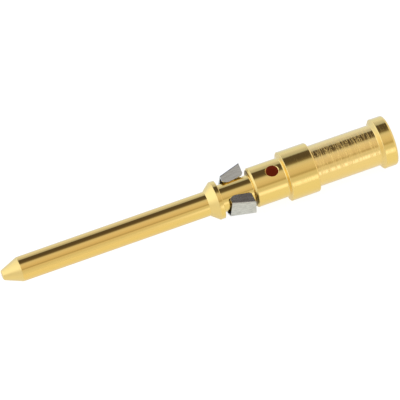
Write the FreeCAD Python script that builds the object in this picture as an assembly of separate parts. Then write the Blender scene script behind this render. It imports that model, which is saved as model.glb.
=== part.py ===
"""A male crimp contact for a rectangular industrial connector, with its folded retention clip.

The contact is turned in one piece from bar and gold plated. From the mating end it has a blunt cone,
a plain pin, a conical flare up to a narrow front collar, a thin neck, a section with a sight hole,
a thick stop collar, the crimp barrel and an end flange round the mouth of the wire bore. The
clip is one strip of spring steel, folded round the neck: a web under it, two walls that flare out
towards the wire end, and two flaps that fold in over the neck and leave a slot between them.

The axis runs along X, with the pin towards minus X and the wire end towards plus X. The origin
is on the axis where the pin meets its flare. The sight hole and the clip's slot face plus Z.
All sizes are in millimetres.
"""

import FreeCAD, Part
import math
import os

from FreeCAD import Vector

AXIS = Vector(1, 0, 0)
ORIGIN = Vector(0, 0, 0)
FULL_TURN = 360

# Pin and its cone
pin_diameter = 1.6
pin_length = 12.45
tip_cone_length = 1.2
tip_end_diameter = 0.62
tip_rounding = 0.16
cone_edge_rounding = 0.12

# Flare and front collar, which stops the clip on its way to the tip
flare_length = 0.55
front_collar_diameter = 2.5
front_collar_width = 0.3
edge_rounding = 0.04

# Neck that carries the clip
neck_diameter = 1.8
neck_length = 2.15
neck_corner_rounding = 0.06

# Section with the sight hole
sight_section_diameter = 2.6
sight_section_length = 2.15
sight_section_chamfer = 0.12
sight_hole_diameter = 0.8
sight_hole_from_neck = 1.43
sight_hole_countersink = 0.05

# Stop collar, which seats in the connector's insert
stop_collar_diameter = 3.25
stop_collar_length = 2.0
stop_collar_front_slope = 0.1
stop_collar_rear_rounding = 0.22

# Crimp barrel and its end flange
barrel_diameter = 2.7
barrel_length = 4.25
flange_diameter = 3.3
flange_slope_length = 0.2
flange_length = 0.85
flange_rear_rounding = 0.16

# Wire bore: it runs from the flange's end to just past the sight hole
bore_diameter = 1.75
bore_past_sight_hole = 0.05
bore_mouth_chamfer = 0.2
drill_point_angle = 118

# Retention clip
sheet_thickness = 0.1
bend_radius = 0.06
clip_length = 1.56
clip_front_gap = 0.34
clip_running_clearance = 0.04
fold_height = 0.94
front_half_width = 1.04
flare_angle = 17.5
wall_lean_angle = 4
lower_fold_front_drop = 0.55
lower_fold_rear_drop = 0.32
lower_facet_angle = 45
flap_slope_angle = 6
front_rake_angle = 5.5

# Slot between the flaps, seen from above
slot_rear_half_width = 0.7
slot_edge_angle = 10.5
slot_corner_length = 0.65
slot_rear_chamfer = 0.18

# Reach of a cutting solid beyond what it cuts
cut_reach = 1.0

# Places along the axis that follow from the sizes above
cone_edge_x = -pin_length
tip_x = cone_edge_x - tip_cone_length
front_collar_x = flare_length
neck_start_x = front_collar_x + front_collar_width
neck_end_x = neck_start_x + neck_length
sight_hole_x = neck_end_x + sight_hole_from_neck
stop_collar_x = neck_end_x + sight_section_length
stop_collar_end_x = stop_collar_x + stop_collar_length
barrel_end_x = stop_collar_end_x + barrel_length
flange_rim_x = barrel_end_x + flange_slope_length
end_x = flange_rim_x + flange_length
bore_bottom_x = sight_hole_x - sight_hole_diameter / 2 - bore_past_sight_hole
clip_front_x = neck_start_x + clip_front_gap
clip_rear_x = clip_front_x + clip_length


def tangent(degrees):
    """Tangent of an angle in degrees."""
    return math.tan(math.radians(degrees))


def rounded_wire(corners):
    """Close a wire through corners of (point, radius), with an arc at each corner that has a radius."""
    stretches = []
    for i, (corner, radius) in enumerate(corners):
        before = (corners[i - 1][0] - corner).normalize()
        after = (corners[(i + 1) % len(corners)][0] - corner).normalize()
        half_angle = before.getAngle(after) / 2
        if radius == 0:
            stretches.append((corner, None, corner))
            continue
        setback = radius / math.tan(half_angle)
        to_centre = (before + after).normalize()
        middle = corner + to_centre * (radius / math.sin(half_angle) - radius)
        stretches.append((corner + before * setback, middle, corner + after * setback))
    edges = []
    for i, (start, middle, end) in enumerate(stretches):
        if middle is not None:
            edges.append(Part.Arc(start, middle, end).toShape())
        next_start = stretches[(i + 1) % len(stretches)][0]
        edges.append(Part.makeLine(end, next_start))
    return Part.Wire(edges)


def turned(corners):
    """Turn an outline of (x, radius, rounding) about the axis."""
    points = [(Vector(x, 0, r), rounding) for x, r, rounding in corners]
    return Part.Face(rounded_wire(points)).revolve(ORIGIN, AXIS, FULL_TURN)


def outside_form():
    """The contact's turned outside, from the tip to the end flange."""
    pin_r = pin_diameter / 2
    collar_r = front_collar_diameter / 2
    neck_r = neck_diameter / 2
    sight_r = sight_section_diameter / 2
    stop_r = stop_collar_diameter / 2
    barrel_r = barrel_diameter / 2
    flange_r = flange_diameter / 2
    return turned([
        (tip_x, 0, 0),
        (tip_x, tip_end_diameter / 2, tip_rounding),
        (cone_edge_x, pin_r, cone_edge_rounding),
        (0, pin_r, 0),
        (front_collar_x, collar_r, edge_rounding),
        (neck_start_x, collar_r, edge_rounding),
        (neck_start_x, neck_r, neck_corner_rounding),
        (neck_end_x, neck_r, neck_corner_rounding),
        (neck_end_x, sight_r - sight_section_chamfer, 0),
        (neck_end_x + sight_section_chamfer, sight_r, 0),
        (stop_collar_x, sight_r, edge_rounding),
        (stop_collar_x + stop_collar_front_slope, stop_r, edge_rounding),
        (stop_collar_end_x, stop_r, stop_collar_rear_rounding),
        (stop_collar_end_x, barrel_r, edge_rounding),
        (barrel_end_x, barrel_r, edge_rounding),
        (flange_rim_x, flange_r, edge_rounding),
        (end_x, flange_r, flange_rear_rounding),
        (end_x, 0, 0),
    ])


def wire_bore():
    """The drilled bore for the stripped wire, with its drill point and the chamfer at its mouth."""
    bore_r = bore_diameter / 2
    point_depth = bore_r / tangent(drill_point_angle / 2)
    return turned([
        (bore_bottom_x - point_depth, 0, 0),
        (bore_bottom_x, bore_r, 0),
        (end_x - bore_mouth_chamfer, bore_r, 0),
        (end_x, bore_r + bore_mouth_chamfer, 0),
        (end_x + cut_reach, bore_r + bore_mouth_chamfer, 0),
        (end_x + cut_reach, 0, 0),
    ])


def sight_hole():
    """The hole in the upper wall through which the wire is seen, with its broken edge."""
    hole_r = sight_hole_diameter / 2
    surface_z = sight_section_diameter / 2
    centre = Vector(sight_hole_x, 0, 0)
    hole = Part.makeCylinder(hole_r, surface_z + cut_reach, centre, Vector(0, 0, 1))
    cone = Part.makeCone(
        hole_r,
        hole_r + 2 * sight_hole_countersink,
        2 * sight_hole_countersink,
        centre + Vector(0, 0, surface_z - sight_hole_countersink),
        Vector(0, 0, 1),
    )
    return hole.fuse(cone)


def contact_body():
    """The whole turned contact, bored from the wire end."""
    return outside_form().cut(wire_bore()).cut(sight_hole())


def clip_outline(half_width, lower_drop):
    """Corners of the strip's outer side in one cross-section, from one flap's edge to the other's."""
    web_z = -(neck_diameter / 2 + clip_running_clearance + sheet_thickness)
    lower_y = half_width + (fold_height + lower_drop) * tangent(wall_lean_angle)
    web_y = lower_y - (-lower_drop - web_z) / tangent(lower_facet_angle)
    flap_drop = half_width * tangent(flap_slope_angle)
    right = [
        (0, fold_height - flap_drop),
        (half_width, fold_height),
        (lower_y, -lower_drop),
        (web_y, web_z),
    ]
    left = [(-y, z) for y, z in reversed(right)]
    return right + left


def inner_outline(outline):
    """The same corners moved inwards by the sheet's thickness."""
    directions = []
    for (y0, z0), (y1, z1) in zip(outline, outline[1:]):
        length = math.hypot(y1 - y0, z1 - z0)
        directions.append(((y1 - y0) / length, (z1 - z0) / length))
    moved = []
    for i, (y, z) in enumerate(outline):
        dy0, dz0 = directions[max(i - 1, 0)]
        dy1, dz1 = directions[min(i, len(directions) - 1)]
        # Inwards is to the right of the way round, halfway between the two neighbouring sides
        ny, nz = dz0 + dz1, -dy0 - dy1
        reach = 2 * sheet_thickness / (ny * ny + nz * nz)
        moved.append((y + ny * reach, z + nz * reach))
    return moved


def clip_section(x, half_width, lower_drop):
    """A closed cross-section of the folded strip at x, with a rounded bend at each fold."""
    outer = clip_outline(half_width, lower_drop)
    inner = inner_outline(outer)
    last = len(outer) - 1
    corners = []
    for i, (y, z) in enumerate(outer):
        corners.append((Vector(x, y, z), 0 if i in (0, last) else bend_radius + sheet_thickness))
    for i, (y, z) in reversed(list(enumerate(inner))):
        corners.append((Vector(x, y, z), 0 if i in (0, last) else bend_radius))
    return rounded_wire(corners)


def slot_edge_y(x):
    """Half the slot's width at x, along the straight stretch of a flap's free edge."""
    return slot_rear_half_width - (clip_rear_x - x) * tangent(slot_edge_angle)


def slot_cutter():
    """The slot between the flaps: round corners at the front, small chamfers at the rear."""
    bottom_z = fold_height / 2
    height = fold_height
    front_y = front_half_width - sheet_thickness
    front = Vector(clip_front_x, front_y, bottom_z)
    bend_x = clip_front_x + slot_corner_length
    bend = Vector(bend_x, slot_edge_y(bend_x), bottom_z)
    angle = math.radians(slot_edge_angle)
    normal = Vector(-math.sin(angle), math.cos(angle), 0)
    chord = front - bend
    radius = chord.dot(chord) / (2 * chord.dot(normal))
    centre = bend + normal * radius
    middle = centre + ((front + bend) * 0.5 - centre).normalize() * radius
    chamfer_x = clip_rear_x - slot_rear_chamfer
    chamfer = Vector(chamfer_x, slot_edge_y(chamfer_x), bottom_z)
    rear_x = clip_rear_x + cut_reach
    rear = Vector(rear_x, chamfer.y + rear_x - chamfer_x, bottom_z)
    ahead = Vector(clip_front_x - cut_reach, front_y, bottom_z)

    def across(point):
        return Vector(point.x, -point.y, point.z)

    edges = [
        Part.makeLine(ahead, front),
        Part.Arc(front, middle, bend).toShape(),
        Part.makeLine(bend, chamfer),
        Part.makeLine(chamfer, rear),
        Part.makeLine(rear, across(rear)),
        Part.makeLine(across(rear), across(chamfer)),
        Part.makeLine(across(chamfer), across(bend)),
        Part.Arc(across(bend), across(middle), across(front)).toShape(),
        Part.makeLine(across(front), across(ahead)),
        Part.makeLine(across(ahead), ahead),
    ]
    return Part.Face(Part.Wire(edges)).extrude(Vector(0, 0, height))


def front_rake_cutter():
    """A block that leans the clip's front edge back towards the flaps."""
    size = 2 * (front_half_width + fold_height) + 2 * cut_reach
    block = Part.makeBox(size, size, size, Vector(-size, -size / 2, -size / 2))
    block.rotate(ORIGIN, Vector(0, 1, 0), front_rake_angle)
    block.translate(Vector(clip_front_x, 0, -lower_fold_front_drop))
    return block


def retention_clip():
    """The folded strip: web, lower facets, flared walls and flaps, bent from one sheet."""
    rear_half_width = front_half_width + clip_length * tangent(flare_angle)
    front = clip_section(clip_front_x, front_half_width, lower_fold_front_drop)
    rear = clip_section(clip_rear_x, rear_half_width, lower_fold_rear_drop)
    strip = Part.makeLoft([front, rear], True, True)
    return strip.cut(slot_cutter()).cut(front_rake_cutter())


def main():
    os.makedirs("parts", exist_ok=True)
    pieces = {"contact_body": contact_body(), "retention_clip": retention_clip()}
    for name, shape in pieces.items():
        solids = shape.Solids
        print(name, "solids", len(solids), "valid", shape.isValid(), "volume", round(shape.Volume, 3))
        solids[0].exportStep("parts/" + name + ".step")


main()
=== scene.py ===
# %% [markdown]
# # A gold plated crimp contact with its retention clip
#
# The real object is 26 mm long. A turned contact carries a small folded clip of spring steel.
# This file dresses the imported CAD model: it makes both pieces again with smoother surfaces and
# fine edge roundings, gives them metal finishes, and sets up the camera, the floor and the light.
# Everything is in metres, in the frame of the CAD model: the axis runs along X, the tip points
# to minus X, and the sight hole and the clip's slot face plus Z.

import math

import bmesh
import bpy
from mathutils import Matrix, Vector


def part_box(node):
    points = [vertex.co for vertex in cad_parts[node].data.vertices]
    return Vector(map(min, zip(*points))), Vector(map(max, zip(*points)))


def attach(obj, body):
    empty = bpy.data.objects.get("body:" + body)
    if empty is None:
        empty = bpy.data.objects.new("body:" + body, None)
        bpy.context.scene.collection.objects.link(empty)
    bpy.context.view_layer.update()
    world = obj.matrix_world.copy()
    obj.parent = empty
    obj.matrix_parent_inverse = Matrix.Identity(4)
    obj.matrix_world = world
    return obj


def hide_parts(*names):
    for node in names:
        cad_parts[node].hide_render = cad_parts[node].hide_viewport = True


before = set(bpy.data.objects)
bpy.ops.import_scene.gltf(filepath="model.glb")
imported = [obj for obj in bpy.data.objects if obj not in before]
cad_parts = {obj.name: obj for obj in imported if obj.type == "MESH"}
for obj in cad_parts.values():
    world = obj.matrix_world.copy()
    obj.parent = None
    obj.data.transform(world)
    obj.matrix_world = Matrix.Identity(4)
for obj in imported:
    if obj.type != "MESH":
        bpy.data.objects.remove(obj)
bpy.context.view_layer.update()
contact_low, contact_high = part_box("contact_body")
clip_low, clip_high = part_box("retention_clip")

# %% [markdown]
# ## Sizes
#
# The CAD model says where each piece starts and ends. The sizes between are written here as
# millimetres, as they would stand on a drawing, and one factor turns them into metres.

# %% Sizes of the contact
MM = 0.001

tip_x = contact_low.x / MM
end_x = contact_high.x / MM
flange_radius = contact_high.y / MM

pin_radius = 0.8
tip_radius = 0.31
cone_length = 1.2
flare_length = 0.55
front_collar_radius = 1.25
front_collar_width = 0.3
neck_radius = 0.9
neck_length = 2.15
sight_radius = 1.3
sight_length = 2.15
sight_chamfer = 0.12
stop_radius = 1.625
stop_length = 2.0
stop_slope_length = 0.1
barrel_radius = 1.35
barrel_length = 4.25
flange_slope_length = 0.2
bore_radius = 0.875
bore_mouth_chamfer = 0.2
drill_point_angle = 118
hole_radius = 0.4
hole_from_neck = 1.43
hole_rim = 0.05

cone_edge_x = tip_x + cone_length
collar_x = flare_length
neck_x = collar_x + front_collar_width
sight_x = neck_x + neck_length
hole_x = sight_x + hole_from_neck
stop_x = sight_x + sight_length
barrel_x = stop_x + stop_length
barrel_end_x = barrel_x + barrel_length
flange_x = barrel_end_x + flange_slope_length
bore_bottom_x = hole_x - hole_radius - hole_rim
print("contact", round(end_x - tip_x, 2), "mm long,", round(2 * flange_radius, 2), "mm across")

# %% [markdown]
# ## The camera
#
# The photograph looks down at the contact from a steep angle, with the tip at the left and a
# little nearer to the lens. The whole object is also turned in the picture, so that its axis
# rises to the right. A camera is easiest to place from such facts: first the direction from the
# object to the lens, then the picture's right and up directions, rolled about that direction.

# %% Place the camera
view_elevation = 62
tip_lean = 9.5
axis_rise = 19.3
camera_distance = 200 * MM
pixels_across = 400
pixels_per_mm = 15.92
origin_pixel = Vector((206.5, 203.8))

lean = math.radians(tip_lean)
lift = math.radians(view_elevation)
to_lens = Vector((
    -math.sin(lean),
    -math.cos(lean) * math.cos(lift),
    math.cos(lean) * math.sin(lift),
))
axis = Vector((1, 0, 0))
along = (axis - axis.dot(to_lens) * to_lens).normalized()
across = to_lens.cross(along)
roll = math.radians(axis_rise)
right = along * math.cos(roll) - across * math.sin(roll)
up = along * math.sin(roll) + across * math.cos(roll)

off_centre = (origin_pixel - Vector((pixels_across / 2, pixels_across / 2))) / pixels_per_mm * MM
aim = -right * off_centre.x + up * off_centre.y
turn = Matrix((right, up, to_lens)).transposed().to_4x4()

camera_data = bpy.data.cameras.new("camera")
camera_data.sensor_width = 36
picture_width = pixels_across / pixels_per_mm * MM
camera_data.lens = camera_data.sensor_width * camera_distance / picture_width
camera_data.clip_start = 0.01
camera_data.clip_end = 10
camera = bpy.data.objects.new("camera", camera_data)
camera.matrix_world = Matrix.Translation(aim + to_lens * camera_distance) @ turn
bpy.context.scene.collection.objects.link(camera)
bpy.context.scene.camera = camera
print("camera", round(camera_data.lens, 1), "mm lens")

# %% [markdown]
# ## Small helpers for modelling
#
# An operator works on what is selected, so each piece starts with nothing selected, and edges
# are picked by where they are. These helpers keep that short.

# %% Helpers for modelling
def deselect_all():
    """Leave edit mode and select nothing."""
    if bpy.context.object and bpy.context.object.mode != "OBJECT":
        bpy.ops.object.mode_set(mode="OBJECT")
    bpy.ops.object.select_all(action="DESELECT")


def name_piece(name):
    """Name the active object and its mesh."""
    piece = bpy.context.object
    piece.name = name
    piece.data.name = name
    return piece


def select_edges(piece, test):
    """In edit mode, select just the edges whose two ends pass the test."""
    mesh = bmesh.from_edit_mesh(piece.data)
    bpy.ops.mesh.select_all(action="DESELECT")
    bpy.context.tool_settings.mesh_select_mode = (False, True, False)
    for edge in mesh.edges:
        if all(test(v.co) for v in edge.verts):
            edge.select_set(True)
    bmesh.update_edit_mesh(piece.data)
    return sum(edge.select for edge in mesh.edges)


def extrude_ring(x, radius):
    """Extrude the selected ring of edges, then move and scale it to x and radius, in millimetres."""
    mesh = bmesh.from_edit_mesh(bpy.context.object.data)
    ring = [v.co for v in mesh.verts if v.select]
    old_x = sum(v.x for v in ring) / len(ring)
    old_radius = sum(math.hypot(v.y, v.z) for v in ring) / len(ring)
    bpy.ops.mesh.extrude_edges_move(
        MESH_OT_extrude_edges_indiv={},
        TRANSFORM_OT_translate={"value": (x * MM - old_x, 0, 0)},
    )
    factor = radius * MM / old_radius
    bpy.ops.transform.resize(value=(1, factor, factor), center_override=(x * MM, 0, 0))


def apply_modifier(piece, kind, **settings):
    """Add a modifier, set it and apply it."""
    bpy.context.view_layer.objects.active = piece
    modifier = piece.modifiers.new(kind.lower(), kind)
    for setting, value in settings.items():
        setattr(modifier, setting, value)
    bpy.ops.object.modifier_apply(modifier=modifier.name)


# %% [markdown]
# ## The turned contact
#
# On a lathe the contact is cut from bar, step by step along its axis. It could be made as a
# profile that is spun round, or as one ring of edges that is extruded and scaled for each step.
# The ring is used here, because it follows the lathe: it starts at the tip, runs over the
# outside to the wire end, turns in at the mouth and ends at the drill point in the bore. That
# gives one closed skin, with as many sides as a mirror finish needs.

# %% Turn the outside
ring_sides = 160

deselect_all()
bpy.ops.mesh.primitive_circle_add(
    vertices=ring_sides,
    radius=tip_radius * MM,
    fill_type="TRIFAN",
    location=(tip_x * MM, 0, 0),
    rotation=(0, math.radians(90), 0),
)
contact = name_piece("gold_contact")
bpy.ops.object.transform_apply(location=True, rotation=True, scale=True)
bpy.ops.object.mode_set(mode="EDIT")
select_edges(contact, lambda co: math.hypot(co.y, co.z) > tip_radius * MM / 2)

outside = [
    (cone_edge_x, pin_radius),
    (0, pin_radius),
    (collar_x, front_collar_radius),
    (neck_x, front_collar_radius),
    (neck_x, neck_radius),
    (sight_x, neck_radius),
    (sight_x, sight_radius - sight_chamfer),
    (sight_x + sight_chamfer, sight_radius),
    (stop_x, sight_radius),
    (stop_x + stop_slope_length, stop_radius),
    (barrel_x, stop_radius),
    (barrel_x, barrel_radius),
    (barrel_end_x, barrel_radius),
    (flange_x, flange_radius),
    (end_x, flange_radius),
]
for x, radius in outside:
    extrude_ring(x, radius)
print("outside turned in", len(outside), "steps")

# %% [markdown]
# The bore takes the stripped wire. It could be cut with a cylinder and a Boolean, as the sight
# hole is below, but the ring is already at the mouth, so the same steps run on inwards: a chamfer,
# the straight wall and the cone that the drill's point leaves. One more ring divides the wall at the
# front of the barrel, so that the deep part can have its own red colour and painted glow.

# %% Turn the bore
bore_point_x = bore_bottom_x - bore_radius / math.tan(math.radians(drill_point_angle / 2))
bore = [
    (end_x, bore_radius + bore_mouth_chamfer),
    (end_x - bore_mouth_chamfer, bore_radius),
    (barrel_x, bore_radius),
    (bore_bottom_x, bore_radius),
]
for x, radius in bore:
    extrude_ring(x, radius)
bpy.ops.mesh.extrude_edges_move(
    MESH_OT_extrude_edges_indiv={},
    TRANSFORM_OT_translate={"value": ((bore_point_x - bore_bottom_x) * MM, 0, 0)},
)
bpy.ops.mesh.merge(type="CENTER")
print("bore turned,", len(bmesh.from_edit_mesh(contact.data).verts), "points")

# %% [markdown]
# Each corner of the real contact has a small rounding, left by the tool's nose or by tumbling.
# A mirror finish shows it as a thin bright line, so every corner gets its own bevel. The widest
# ones are on the tip, the stop collar's rear rim and the flange's rear rim.

# %% Round the corners
fine_rounding = 0.04
corner_roundings = [
    (tip_x, tip_radius, 0.1),
    (cone_edge_x, pin_radius, 0.07),
    (collar_x, front_collar_radius, fine_rounding),
    (neck_x, front_collar_radius, fine_rounding),
    (neck_x, neck_radius, fine_rounding),
    (sight_x, neck_radius, fine_rounding),
    (sight_x, sight_radius - sight_chamfer, 0.03),
    (sight_x + sight_chamfer, sight_radius, 0.03),
    (stop_x, sight_radius, 0.06),
    (stop_x + stop_slope_length, stop_radius, fine_rounding),
    (barrel_x, stop_radius, 0.1),
    (barrel_x, barrel_radius, fine_rounding),
    (barrel_end_x, barrel_radius, fine_rounding),
    (flange_x, flange_radius, fine_rounding),
    (end_x, flange_radius, 0.16),
    (end_x, bore_radius + bore_mouth_chamfer, 0.03),
]
near = 0.005
merge_distance = 1e-7
for x, radius, rounding in corner_roundings:
    found = select_edges(contact, lambda co: (
        abs(co.x / MM - x) < near and abs(math.hypot(co.y, co.z) / MM - radius) < near
    ))
    bpy.ops.mesh.bevel(
        offset_type="OFFSET",
        offset=rounding * MM,
        segments=5,
        profile=0.5,
        affect="EDGES",
    )
    if found != ring_sides:
        print("corner at", round(x, 2), "found", found, "edges")
bpy.ops.mesh.select_all(action="SELECT")
bpy.ops.mesh.remove_doubles(threshold=merge_distance)
bpy.ops.mesh.normals_make_consistent(inside=False)
bpy.ops.object.mode_set(mode="OBJECT")
print("contact has", len(contact.data.polygons), "faces")

# %% [markdown]
# The sight hole is drilled through the upper wall, so that the wire can be seen in the bore, and
# its edge is broken with a countersink. A drill is a cylinder with a cone, and a Boolean takes
# it away as the real drill does.

# %% Drill the sight hole
drill_length = 1.2
drill_start_z = 0.3
drill_sides = 96
smooth_below = math.radians(32)

deselect_all()
bpy.ops.mesh.primitive_circle_add(
    vertices=drill_sides,
    radius=hole_radius * MM,
    fill_type="NGON",
    location=(hole_x * MM, 0, drill_start_z * MM),
)
drill = name_piece("drill")
bpy.ops.object.transform_apply(location=True, rotation=True, scale=True)
bpy.ops.object.mode_set(mode="EDIT")
bpy.ops.mesh.select_all(action="SELECT")
drill_steps = [
    (sight_radius - hole_rim, hole_radius),
    (sight_radius + hole_rim, hole_radius + 2 * hole_rim),
    (sight_radius + drill_length, hole_radius + 2 * hole_rim),
]
drill_z, drill_radius = drill_start_z, hole_radius
for z, radius in drill_steps:
    bpy.ops.mesh.extrude_region_move(
        MESH_OT_extrude_region={},
        TRANSFORM_OT_translate={"value": (0, 0, (z - drill_z) * MM)},
    )
    bpy.ops.transform.resize(
        value=(radius / drill_radius, radius / drill_radius, 1),
        center_override=(hole_x * MM, 0, z * MM),
    )
    drill_z, drill_radius = z, radius
bpy.ops.mesh.select_all(action="SELECT")
bpy.ops.mesh.normals_make_consistent(inside=False)
bpy.ops.object.mode_set(mode="OBJECT")

deselect_all()
contact.select_set(True)
apply_modifier(contact, "BOOLEAN", object=drill, operation="DIFFERENCE", solver="EXACT")
bpy.data.objects.remove(drill)
bpy.context.view_layer.objects.active = contact
bpy.ops.object.shade_smooth_by_angle(angle=smooth_below)
print("sight hole drilled,", len(contact.data.polygons), "faces")

# %% [markdown]
# ## The retention clip
#
# The clip is a strip of thin spring steel that a press folds round the neck: a web below, two
# sloped facets, two walls that flare out towards the wire end, and two flaps folded in over the
# neck. The slot between the flaps has a round corner in front and a small chamfer behind, and
# the front edge leans back towards the flaps. It could be cut from a solid block, but it is made
# here as the press makes it: a flat blank that is folded, with its folds rounded, and that gets
# the thickness of the sheet last.
#
# Two sizes differ a little from the CAD model. The flaps slope 9.5 degrees instead of 6, which was
# chosen so that they mirror the tones of the photograph and was not measured, and the slot's rear
# chamfer is 0.1 mm instead of 0.18 mm.

# %% Sizes of the clip
sheet = 0.1
running_clearance = 0.04
clip_x = clip_low.x / MM
clip_end_x = clip_high.x / MM
clip_length = clip_end_x - clip_x
fold_height = 0.94
front_half_width = 1.04
flare_angle = 17.5
wall_lean_angle = 4
lower_fold_front = 0.55
lower_fold_rear = 0.32
facet_angle = 45
flap_slope_angle = 9.5
front_rake_angle = 5.5
slot_rear_half = 0.7
slot_edge_angle = 10.5
slot_corner_length = 0.65
slot_chamfer = 0.1


def tangent(degrees):
    """Tangent of an angle in degrees."""
    return math.tan(math.radians(degrees))


web_z = -(neck_radius + running_clearance + sheet)
flap_front_x = clip_x + (fold_height + lower_fold_front) * tangent(front_rake_angle)
bend_x = clip_x + slot_corner_length
chamfer_x = clip_end_x - slot_chamfer
print("clip", round(clip_length, 2), "mm long, flaps from", round(flap_front_x, 2))

# %% [markdown]
# The flaps end at the slot. The slot could be cut out at the end with a Boolean, but then the
# faces round it would be ragged. Half its width is written as a formula instead: an arc in front,
# a straight edge that splays open, and a chamfer at the rear.

# %% The slot's edge
splay = math.radians(slot_edge_angle)
bend_y = slot_rear_half - (clip_end_x - bend_x) * tangent(slot_edge_angle)
front_y = front_half_width - sheet
chord = Vector((clip_x - bend_x, front_y - bend_y))
edge_normal = Vector((-math.sin(splay), math.cos(splay)))
corner_radius = chord.dot(chord) / (2 * chord.dot(edge_normal))
corner_centre = Vector((bend_x, bend_y)) + edge_normal * corner_radius


def slot_y(x):
    """Half the slot's width at x: round corner, straight edge, then chamfer."""
    if x < bend_x:
        return corner_centre.y - math.sqrt(corner_radius ** 2 - (x - corner_centre.x) ** 2)
    straight = slot_rear_half - (clip_end_x - x) * tangent(slot_edge_angle)
    return straight + max(0, x - chamfer_x)


print("slot corner radius", round(corner_radius, 2), "mm")


# %% [markdown]
# A press folds the blank along straight lines. Because the walls flare, the lines aren't
# parallel, so a function says where each one is at any place along the clip.

# %% Where the fold lines run
def fold_point(line, x):
    """The point of one fold line at x. Line 0 is the flap's free edge and line 3 the web's."""
    share = (x - clip_x) / clip_length
    half_width = front_half_width + clip_length * share * tangent(flare_angle)
    lower_fold = lower_fold_front + (lower_fold_rear - lower_fold_front) * share
    lower_y = half_width + (fold_height + lower_fold) * tangent(wall_lean_angle)
    if line == 0:
        return slot_y(x), fold_height - (half_width - slot_y(x)) * tangent(flap_slope_angle)
    if line == 1:
        return half_width, fold_height
    if line == 2:
        return lower_y, -lower_fold
    return lower_y - (-lower_fold - web_z) / tangent(facet_angle), web_z


def stations(start, stop, count):
    """Evenly spaced places from start up to, and without, stop."""
    return [start + (stop - start) * i / count for i in range(count)]


flap_places = (
    stations(flap_front_x, bend_x, 12)
    + stations(bend_x, chamfer_x, 6)
    + stations(chamfer_x, clip_end_x, 3)
    + [clip_end_x]
)
flap_length = clip_end_x - flap_front_x
print(len(flap_places), "places along the clip")

# %% [markdown]
# The blank is a flat grid with one strip of faces for each of its seven facets: flap, wall, lower
# facet, web, and the same again on the other side. Each facet could be turned about its fold
# line. Moving every point to its place on a fold line is shorter, and no error builds up from
# one fold to the next.

# %% Fold the blank
facets = 7
columns = len(flap_places) - 1

deselect_all()
bpy.ops.mesh.primitive_grid_add(x_subdivisions=columns, y_subdivisions=facets, size=1)
clip = name_piece("steel_clip")
line_starts = [flap_front_x, flap_front_x, clip_x, clip_x]
for v in clip.data.vertices:
    column = round((v.co.x + 0.5) * columns)
    row = round((v.co.y + 0.5) * facets)
    line = min(row, facets - row)
    side = 1 if row < facets / 2 else -1
    share = (flap_places[column] - flap_front_x) / flap_length
    x = line_starts[line] + (clip_end_x - line_starts[line]) * share
    y, z = fold_point(line, x)
    v.co = Vector((x, side * y, z)) * MM
print("blank folded,", len(clip.data.polygons), "faces")

# %% [markdown]
# Sheet steel can't be folded to a sharp line, so each fold is a small bend. The fold lines are
# the inner edges that run along the clip. They are bevelled while the sheet is still a skin, so
# that both sides of the thick sheet will follow the same bend.

# %% Round the folds
fold_rounding = 0.08
bpy.ops.object.mode_set(mode="EDIT")
mesh = bmesh.from_edit_mesh(clip.data)
bpy.context.tool_settings.mesh_select_mode = (False, True, False)
bpy.ops.mesh.select_all(action="DESELECT")
for edge in mesh.edges:
    first, second = edge.verts
    reach = first.co - second.co
    if abs(reach.x) > max(abs(reach.y), abs(reach.z)) and len(edge.link_faces) == 2:
        edge.select_set(True)
bmesh.update_edit_mesh(clip.data)
print("folds have", sum(edge.select for edge in mesh.edges), "edges")
bpy.ops.mesh.bevel(offset_type="OFFSET", offset=fold_rounding * MM, segments=6, affect="EDGES")
bpy.ops.mesh.select_all(action="SELECT")
bpy.ops.mesh.normals_make_consistent(inside=False)
lowest = min(mesh.faces, key=lambda face: face.calc_center_median().z)
if lowest.normal.z > 0:
    bpy.ops.mesh.flip_normals()
bpy.ops.object.mode_set(mode="OBJECT")
print("folds rounded,", len(clip.data.polygons), "faces")

# %% [markdown]
# Solidify gives the sheet its thickness, inwards from its outer side. The walls flare, so their
# inner sides then reach past the clip's rear end, and one flat cut trims them. Last, a very fine
# bevel takes the sharpness off the sheared edges, which then catch the light.

# %% Thicken the sheet and break its edges
cut_tolerance = 1e-8
edge_break = 0.012
sharp_above = math.radians(50)

apply_modifier(clip, "SOLIDIFY", thickness=sheet * MM, offset=-1, use_even_offset=True)
bpy.ops.object.mode_set(mode="EDIT")
bpy.ops.mesh.select_all(action="SELECT")
bpy.ops.mesh.bisect(
    plane_co=(clip_end_x * MM, 0, 0),
    plane_no=(1, 0, 0),
    clear_outer=True,
    use_fill=True,
    threshold=cut_tolerance,
)
bpy.ops.object.mode_set(mode="OBJECT")
apply_modifier(
    clip, "BEVEL",
    width=edge_break * MM,
    segments=1,
    limit_method="ANGLE",
    angle_limit=sharp_above,
)
bpy.ops.object.shade_smooth_by_angle(angle=smooth_below)
print("clip done,", len(clip.data.polygons), "faces")

# %% [markdown]
# ## Materials
#
# Both finishes are bare metal, so nearly all that the eye sees is the surroundings, mirrored.
# A Principled shader with metallic at 1 needs only the metal's colour, its roughness and the
# fine relief that the making left.

# %% Helpers for materials
def linear(hex_colour):
    """Turn an sRGB hex colour into the linear colour that a shader wants."""
    channels = [int(hex_colour[i:i + 2], 16) / 255 for i in (1, 3, 5)]
    return tuple(
        c / 12.92 if c <= 0.04045 else ((c + 0.055) / 1.055) ** 2.4 for c in channels
    ) + (1,)


def add_node(tree, kind, links=None, **settings):
    """Add a node, set its values or properties by name, and link its inputs."""
    node = tree.nodes.new(kind)
    for setting, value in settings.items():
        if hasattr(node, setting):
            setattr(node, setting, value)
        else:
            node.inputs[setting.replace("_", " ")].default_value = value
    for socket, source in (links or {}).items():
        tree.links.new(source, node.inputs[socket])
    return node


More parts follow.
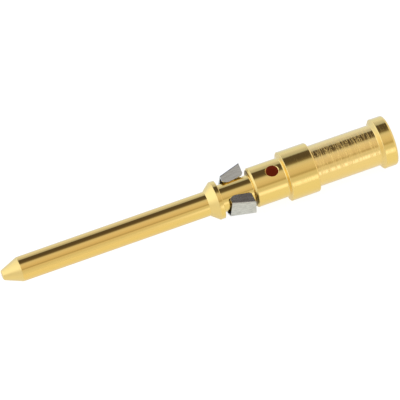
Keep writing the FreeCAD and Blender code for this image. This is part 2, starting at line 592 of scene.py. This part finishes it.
def new_material(name):
    """A material with only a Principled shader and its output."""
    material = bpy.data.materials.new(name)
    material.use_nodes = True
    tree = material.node_tree
    tree.nodes.clear()
    shader = add_node(tree, "ShaderNodeBsdfPrincipled")
    add_node(tree, "ShaderNodeOutputMaterial", {"Surface": shader.outputs["BSDF"]})
    return material, tree, shader


# %% [markdown]
# The contact is turned from a copper alloy and gold plated. The polished pin is painted a shade
# redder than the rest, a painted reflection that stands in for the warm shade of its own shadow on
# the floor below it. The rough barrel is painted a shade paler, a painted reflection that stands in
# for the white surroundings its rough surface mixes in. Three materials would meet at seams, so one
# material mixes the three tones by the place along the axis, and the pin's painted tone fades out
# slowly.

# %% Gold plating, with painted tones on the pin and the barrel
gold, tree, shader = new_material("hard_gold_plate_on_turned_alloy")
gold_colour = linear("#f7d67b")
# The pin's colour is a painted reflection of the shade under it, and the barrel's is a painted pale
# reflection.
pin_painted_reflection_colour = linear("#f8d277")
barrel_painted_pale_colour = linear("#fad985")
pin_painted_tone_ends = -4
gold_colour_starts = 1

shader.inputs["Metallic"].default_value = 1
place = add_node(tree, "ShaderNodeTexCoord")
split = add_node(tree, "ShaderNodeSeparateXYZ", {"Vector": place.outputs["Object"]})
along_mm = add_node(tree, "ShaderNodeMath", {0: split.outputs["X"]}, operation="DIVIDE")
along_mm.inputs[1].default_value = MM
off_pin = add_node(
    tree, "ShaderNodeMapRange", {"Value": along_mm.outputs[0]},
    From_Min=pin_painted_tone_ends, From_Max=gold_colour_starts,
)
plating = add_node(tree, "ShaderNodeMix", {0: off_pin.outputs["Result"]}, data_type="RGBA")
plating.inputs[6].default_value = pin_painted_reflection_colour
plating.inputs[7].default_value = gold_colour


def stretch_mask(tree, position, start, stop, amount):
    """The amount between two places along the axis, and nothing outside them."""
    after = add_node(tree, "ShaderNodeMath", {0: position}, operation="GREATER_THAN")
    after.inputs[1].default_value = start
    before = add_node(tree, "ShaderNodeMath", {0: position}, operation="LESS_THAN")
    before.inputs[1].default_value = stop
    both = add_node(
        tree, "ShaderNodeMath", {0: after.outputs[0], 1: before.outputs[0]}, operation="MULTIPLY")
    scaled = add_node(tree, "ShaderNodeMath", {0: both.outputs[0]}, operation="MULTIPLY")
    scaled.inputs[1].default_value = amount
    return scaled.outputs[0]


on_barrel = stretch_mask(tree, along_mm.outputs[0], barrel_x, barrel_end_x, 1)
plating_with_painted_tones = add_node(
    tree, "ShaderNodeMix", {0: on_barrel, 6: plating.outputs[2]}, data_type="RGBA")
plating_with_painted_tones.inputs[7].default_value = barrel_painted_pale_colour
print("plating tones mixed with", len(tree.nodes), "nodes")

# %% [markdown]
# The pin is polished so that it slides well in its socket. The crimp barrel is left as the lathe
# tool cut it, with short torn strokes that run round it and break up each reflection; the stop
# collar and the flange have a little of the same. Modelling every stroke would take far too many
# faces, so noise that is squeezed along the axis draws them. They are a little rougher and a few
# thousandths of a millimetre high.

# %% Turning marks
polished = 0.09
torn = 0.14
marks_on_collar = 0.22
marks_on_flange = 0.25
marks_per_mm = 8
marks_round_per_mm = 0.6
mark_noise_low = 0.5
mark_noise_high = 0.6
mark_height = 0.005

on_collar = stretch_mask(tree, along_mm.outputs[0], stop_x, barrel_x, marks_on_collar)
on_flange = stretch_mask(tree, along_mm.outputs[0], barrel_end_x, end_x, marks_on_flange)
on_both = add_node(tree, "ShaderNodeMath", {0: on_barrel, 1: on_collar}, operation="ADD")
mark_area = add_node(
    tree, "ShaderNodeMath", {0: on_both.outputs[0], 1: on_flange}, operation="ADD")
squeeze = add_node(tree, "ShaderNodeMapping", {"Vector": place.outputs["Object"]})
squeeze.inputs["Scale"].default_value = (
    marks_per_mm / MM, marks_round_per_mm / MM, marks_round_per_mm / MM)
mark_noise = add_node(
    tree, "ShaderNodeTexNoise", {"Vector": squeeze.outputs["Vector"]},
    Scale=1, Detail=3, Roughness=0.7,
)
mark_shape = add_node(
    tree, "ShaderNodeMapRange", {"Value": mark_noise.outputs["Fac"]},
    From_Min=mark_noise_low, From_Max=mark_noise_high, To_Min=0, To_Max=1,
)
mark_amount = add_node(
    tree, "ShaderNodeMath",
    {0: mark_shape.outputs["Result"], 1: mark_area.outputs[0]},
    operation="MULTIPLY",
)
turned_roughness = add_node(
    tree, "ShaderNodeMapRange", {"Value": mark_amount.outputs[0]},
    To_Min=polished, To_Max=torn,
)
mark_relief = add_node(
    tree, "ShaderNodeBump", {"Height": mark_amount.outputs[0]}, Strength=1)
mark_relief.inputs["Distance"].default_value = mark_height * MM
tree.links.new(mark_relief.outputs["Normal"], shader.inputs["Normal"])
print("turning marks", marks_per_mm, "per mm")

# %% [markdown]
# Faces that look along the axis were faced off with the tool's side, so they are duller. They are
# also painted a shade paler, a painted reflection that stands in for pale light where gold would
# mirror gold as orange. They could be picked by hand. The X part of the normal finds them all,
# whatever size they have, and it fades in over the slopes between.

# %% Faces across the axis
# This paler colour is a painted reflection on the faces that look along the axis.
square_face_painted_pale_colour = linear("#f9db8a")
square_face_roughness = 0.4
square_from = 0.15
square_to = 0.3

split_normal = add_node(tree, "ShaderNodeSeparateXYZ", {"Vector": place.outputs["Normal"]})
tilt = add_node(tree, "ShaderNodeMath", {0: split_normal.outputs["X"]}, operation="ABSOLUTE")
square_share = add_node(
    tree, "ShaderNodeMapRange", {"Value": tilt.outputs[0]},
    From_Min=square_from, From_Max=square_to,
)
square_roughness = add_node(
    tree, "ShaderNodeMath", {0: square_share.outputs["Result"]}, operation="MULTIPLY")
square_roughness.inputs[1].default_value = square_face_roughness
roughness = add_node(
    tree, "ShaderNodeMath",
    {0: turned_roughness.outputs["Result"], 1: square_roughness.outputs[0]},
    operation="MAXIMUM",
)
colour = add_node(
    tree, "ShaderNodeMix", {0: square_share.outputs["Result"], 6: plating_with_painted_tones.outputs[2]},
    data_type="RGBA",
)
colour.inputs[7].default_value = square_face_painted_pale_colour
tree.links.new(colour.outputs[2], shader.inputs["Base Color"])
tree.links.new(roughness.outputs[0], shader.inputs["Roughness"])
print("gold made,", len(tree.nodes), "nodes")

# %% [markdown]
# Deep in the drilled bore the faces get a redder and darker metal colour than the rest, and a
# rougher one. Light that gets in there is reflected many times, which makes it redder still. The
# sight hole shows this as a dark red brown. The metal alone came out darker than that in the render,
# so a faint painted glow of the same red, with no lamp behind it, stands in for the missing light.

# %% Deep bore red, with a painted glow
deep_bore_red_and_glow, tree, shader = new_material("deep_bore_red_with_painted_glow")
bore_colour = linear("#9c4a28")
# A painted glow: the bore gives off this red light though no lamp is there.
painted_bore_glow = linear("#4c1a0c")
bore_roughness = 0.6

shader.inputs["Base Color"].default_value = bore_colour
shader.inputs["Metallic"].default_value = 1
shader.inputs["Roughness"].default_value = bore_roughness
shader.inputs["Emission Color"].default_value = painted_bore_glow
shader.inputs["Emission Strength"].default_value = 1
print("bore finish made")

# %% [markdown]
# The clip is stamped from rolled stainless strip. Rolling leaves fine streaks along the strip's
# surface, which are a little darker and duller than the steel between them. An image of brushed
# steel would do on a flat sheet, but it would stretch on the folds, so noise that is stretched
# along X draws the streaks.

# %% Rolled spring steel
steel, tree, shader = new_material("rolled_stainless_spring_strip")
steel_colour = linear("#dbd9ca")
streak_colour = linear("#c3c1b3")
steel_roughness = 0.18
streak_roughness = 0.28
streaks_per_mm = 9
streak_stretch = 7
streak_noise_low = 0.4
streak_noise_high = 0.65

shader.inputs["Metallic"].default_value = 1
place = add_node(tree, "ShaderNodeTexCoord")
squeeze = add_node(tree, "ShaderNodeMapping", {"Vector": place.outputs["Object"]})
squeeze.inputs["Scale"].default_value = (1 / streak_stretch / MM, 1 / MM, 1 / MM)
streaks = add_node(
    tree, "ShaderNodeTexNoise", {"Vector": squeeze.outputs["Vector"]},
    Scale=streaks_per_mm, Detail=3, Roughness=0.6,
)
streak_depth = add_node(
    tree, "ShaderNodeMapRange", {"Value": streaks.outputs["Fac"]},
    From_Min=streak_noise_low, From_Max=streak_noise_high, To_Min=0, To_Max=1,
)
roughness = add_node(
    tree, "ShaderNodeMapRange", {"Value": streak_depth.outputs["Result"]},
    To_Min=steel_roughness, To_Max=streak_roughness,
)
tree.links.new(roughness.outputs["Result"], shader.inputs["Roughness"])
streak_mix = add_node(
    tree, "ShaderNodeMix", {0: streak_depth.outputs["Result"]}, data_type="RGBA")
streak_mix.inputs[6].default_value = steel_colour
streak_mix.inputs[7].default_value = streak_colour
tree.links.new(streak_mix.outputs[2], shader.inputs["Base Color"])
print("steel made,", len(tree.nodes), "nodes")

# %% [markdown]
# Rounded corners next to long flat faces would tilt the shading of the whole face, and a mirror
# finish would show that at once. Weighting each normal by the area of its faces keeps the large
# faces true. The modifier ignores areas as small as these are in metres, so the meshes are
# enlarged to millimetres while it works.

# %% Flat faces stay flat
enlarge = Matrix.Scale(1 / MM, 4)
for piece in (contact, clip):
    deselect_all()
    piece.select_set(True)
    piece.data.transform(enlarge)
    apply_modifier(piece, "WEIGHTED_NORMAL", keep_sharp=True)
    piece.data.transform(enlarge.inverted())
print("normals weighted by face area")

# %% [markdown]
# Each piece gets its finish. On the contact, the faces of the bore's deep part get the red one with
# its painted glow.
# They are found by where they are: between the sight section and the barrel, and nearer to the
# axis than the sight hole's rim. Then the CAD model's nodes that the pieces stand for are hidden,
# and each piece is tied to the body that it moves with.

# %% Give the pieces their finish and put them on their bodies
contact.data.materials.clear()
contact.data.materials.append(gold)
contact.data.materials.append(deep_bore_red_and_glow)
deep_from_x = sight_x + 2 * sight_chamfer
rim_share = 0.99
inside_radius = rim_share * (sight_radius - hole_rim) * MM
for face in contact.data.polygons:
    radius = math.hypot(face.center.y, face.center.z)
    deep = deep_from_x < face.center.x / MM < barrel_x
    if deep and radius < inside_radius:
        face.material_index = 1
clip.data.materials.clear()
clip.data.materials.append(steel)

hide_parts("contact_body")
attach(contact, "contact")
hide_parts("retention_clip")
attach(clip, "clip")
print("pieces ride on contact and clip")

# %% [markdown]
# ## The floor
#
# The photograph has a pure white ground. A floor that is lit to pure white would need so much
# light that the metal burns out, so the paper is a mid grey that takes the shadow, and it gives
# off a little light of its own, but only to the camera and to rays mirrored by the metal.
# Seen in the metal, the floor is a shade warmer in front and cooler behind, as paper is between
# a lamp and a window.

# %% Floor
floor_z = contact_low.z
floor_size = 4
paper_colour = linear("#989898")
paper_roughness = 0.9

deselect_all()
bpy.ops.mesh.primitive_plane_add(size=floor_size, location=(0, 0, floor_z))
floor = name_piece("floor")
paper, tree, shader = new_material("white_paper")
glow_to_camera = 0.86
glow_in_metal = 0.66
front_tone = (1, 1, 0.97, 1)
back_tone = (0.82, 0.99, 1.38, 1)
tone_reach = 4 * MM

shader.inputs["Base Color"].default_value = paper_colour
shader.inputs["Roughness"].default_value = paper_roughness
shader.inputs["Specular IOR Level"].default_value = 0
rays = add_node(tree, "ShaderNodeLightPath")
place = add_node(tree, "ShaderNodeTexCoord")
split = add_node(tree, "ShaderNodeSeparateXYZ", {"Vector": place.outputs["Object"]})
behind = add_node(
    tree, "ShaderNodeMapRange", {"Value": split.outputs["Y"]},
    From_Min=-tone_reach, From_Max=tone_reach,
)
tone = add_node(tree, "ShaderNodeMix", {0: behind.outputs["Result"]}, data_type="RGBA")
tone.inputs[6].default_value = front_tone
tone.inputs[7].default_value = back_tone
glow = add_node(
    tree, "ShaderNodeMix", {0: rays.outputs["Is Camera Ray"]}, data_type="RGBA")
tree.links.new(tone.outputs[2], glow.inputs[6])
glow.inputs[7].default_value = (1, 1, 1, 1)
tree.links.new(glow.outputs[2], shader.inputs["Emission Color"])
to_camera = add_node(
    tree, "ShaderNodeMath", {0: rays.outputs["Is Camera Ray"]}, operation="MULTIPLY")
to_camera.inputs[1].default_value = glow_to_camera
to_metal = add_node(
    tree, "ShaderNodeMath", {0: rays.outputs["Is Glossy Ray"]}, operation="MULTIPLY")
to_metal.inputs[1].default_value = glow_in_metal
strength = add_node(
    tree, "ShaderNodeMath", {0: to_camera.outputs[0], 1: to_metal.outputs[0]}, operation="MAXIMUM")
tree.links.new(strength.outputs[0], shader.inputs["Emission Strength"])
floor.data.materials.append(paper)
print("floor at", round(floor_z / MM, 2), "mm")

# %% [markdown]
# ## The studio
#
# A turned piece mirrors its surroundings as long stripes, so the surroundings are what gives it
# its look. Lamps and panels could be placed round it one by one, but a painted sky is easier to
# match to a photograph. Round an axis that lies along X, a direction has one angle: 0 is level
# towards the viewer, 90 is straight up and 180 is level behind. The studio is a ramp over that
# angle.
#
# The photograph doesn't show its surroundings, so the tones are a fit and not a record. They were
# worked out from the stripes that the gold shows and from the gold's own colour, and adjusted
# until the render showed much the same stripes. They read as a warm ceiling, the thin edge of a
# lamp's frame, a dark flag and a cool window, but the real room is not known. The lamps below and
# the floor's two tones were fitted in the same way.

# %% Tones round the axis
world = bpy.data.worlds.new("studio")
world.use_nodes = True
bpy.context.scene.world = world
tree = world.node_tree
tree.nodes.clear()
studio = [
    (0, (0.84, 0.84, 0.86)),
    (14, (0.80, 0.82, 0.86)),
    (30, (0.73, 0.73, 0.75)),
    (42, (0.74, 0.72, 0.74)),
    (46, (0.60, 0.54, 0.48)),
    (51, (0.50, 0.44, 0.36)),
    (56, (0.63, 0.57, 0.51)),
    (62, (0.71, 0.63, 0.61)),
    (80, (0.77, 0.72, 0.72)),
    (92, (0.74, 0.71, 0.82)),
    (98, (0.61, 0.62, 0.68)),
    (106, (0.22, 0.19, 0.17)),
    (112, (0.14, 0.12, 0.11)),
    (120, (0.10, 0.085, 0.085)),
    (144, (0.10, 0.085, 0.085)),
    (149, (0.45, 0.50, 0.70)),
    (154, (0.57, 0.63, 0.93)),
    (162, (0.60, 0.65, 0.92)),
    (170, (0.72, 0.78, 1.15)),
    (180, (0.82, 0.90, 1.35)),
]
place = add_node(tree, "ShaderNodeTexCoord")
split = add_node(tree, "ShaderNodeSeparateXYZ", {"Vector": place.outputs["Generated"]})
towards_viewer = add_node(
    tree, "ShaderNodeMath", {0: split.outputs["Y"]}, operation="MULTIPLY")
towards_viewer.inputs[1].default_value = -1
angle = add_node(
    tree, "ShaderNodeMath",
    {0: split.outputs["Z"], 1: towards_viewer.outputs[0]},
    operation="ARCTAN2",
)
share = add_node(
    tree, "ShaderNodeMapRange", {"Value": angle.outputs[0]}, From_Min=0, From_Max=math.pi)


def tone_ramp(tones):
    """A colour ramp over the angle round the axis, from pairs of degrees and a colour."""
    ramp_node = add_node(tree, "ShaderNodeValToRGB", {"Fac": share.outputs["Result"]})
    elements = ramp_node.color_ramp.elements
    while len(elements) < len(tones):
        elements.new(0.5)
    for element, (degrees, colour) in zip(elements, tones):
        element.position = degrees / 180
        element.color = (*colour, 1)
    return ramp_node.outputs["Color"]


stripes = tone_ramp(studio)
print("studio has", len(studio), "tones")

# %% [markdown]
# A strip lamp low on the viewer's side draws one bright line along the thicker stretches. It is
# a second ramp, which is added to the first. The line fades out on the pin, so the lamp is there
# only for directions that lean towards the wire end. The X part of a direction says how far it
# leans: from -1 past the tip to 1 past the wire end.

# %% Strip lamp
strip_lamp = [
    (0, 0.2),
    (6, 0.4),
    (11, 0.55),
    (15, 0.52),
    (20, 0.33),
    (25, 0.08),
    (30, 0),
]
strip_tint = (1, 0.97, 1.6)
strip_starts = 0.150
strip_full = 0.185

strip_tone = tone_ramp([
    (degrees, [value * tint for tint in strip_tint]) for degrees, value in strip_lamp
])
strip_share = add_node(
    tree, "ShaderNodeMapRange", {"Value": split.outputs["X"]},
    From_Min=strip_starts, From_Max=strip_full,
)
with_strip = add_node(
    tree, "ShaderNodeMix", {0: strip_share.outputs["Result"], 6: stripes, 7: strip_tone},
    data_type="RGBA", blend_type="ADD",
)
print("strip lamp has", len(strip_lamp), "tones")

# %% [markdown]
# Large soft lights stand past both ends. The faces of the cone, the flare and the shoulders
# mirror the one in front of the tip, and the strokes on the barrel sparkle with the other. A
# white backdrop, which only the camera sees, stands behind everything.

# %% Lights past both ends
end_light_colour = (0.92, 0.87, 0.85, 1)
end_light_starts = 0.32
end_light_full = 0.5
softbox_colour = (1.25, 1.33, 1.5, 1)
softbox_full = -0.4
softbox_ends = -0.28
softbox_low = math.radians(44)
softbox_high = math.radians(58)

past_wire_end = add_node(
    tree, "ShaderNodeMapRange", {"Value": split.outputs["X"]},
    From_Min=end_light_starts, From_Max=end_light_full,
)
with_end = add_node(
    tree, "ShaderNodeMix", {0: past_wire_end.outputs["Result"], 6: with_strip.outputs[2]},
    data_type="RGBA",
)
with_end.inputs[7].default_value = end_light_colour
in_front = add_node(
    tree, "ShaderNodeMapRange", {"Value": split.outputs["X"]},
    From_Min=softbox_full, From_Max=softbox_ends, To_Min=1, To_Max=0,
)
above = add_node(
    tree, "ShaderNodeMapRange", {"Value": angle.outputs[0]},
    From_Min=softbox_low, From_Max=softbox_high, To_Min=0, To_Max=1,
)
softbox = add_node(
    tree, "ShaderNodeMath",
    {0: in_front.outputs["Result"], 1: above.outputs["Result"]},
    operation="MULTIPLY",
)
lit = add_node(
    tree, "ShaderNodeMix", {0: softbox.outputs[0], 6: with_end.outputs[2]}, data_type="RGBA")
lit.inputs[7].default_value = softbox_colour
sky = add_node(tree, "ShaderNodeBackground", {"Color": lit.outputs[2]})
white = add_node(tree, "ShaderNodeBackground")
white.inputs["Color"].default_value = (1, 1, 1, 1)
rays = add_node(tree, "ShaderNodeLightPath")
shown = add_node(
    tree, "ShaderNodeMixShader",
    {0: rays.outputs["Is Camera Ray"], 1: sky.outputs[0], 2: white.outputs[0]},
)
add_node(tree, "ShaderNodeOutputWorld", {"Surface": shown.outputs[0]})
bpy.context.scene.view_settings.view_transform = "Standard"
print("studio made,", len(tree.nodes), "nodes")
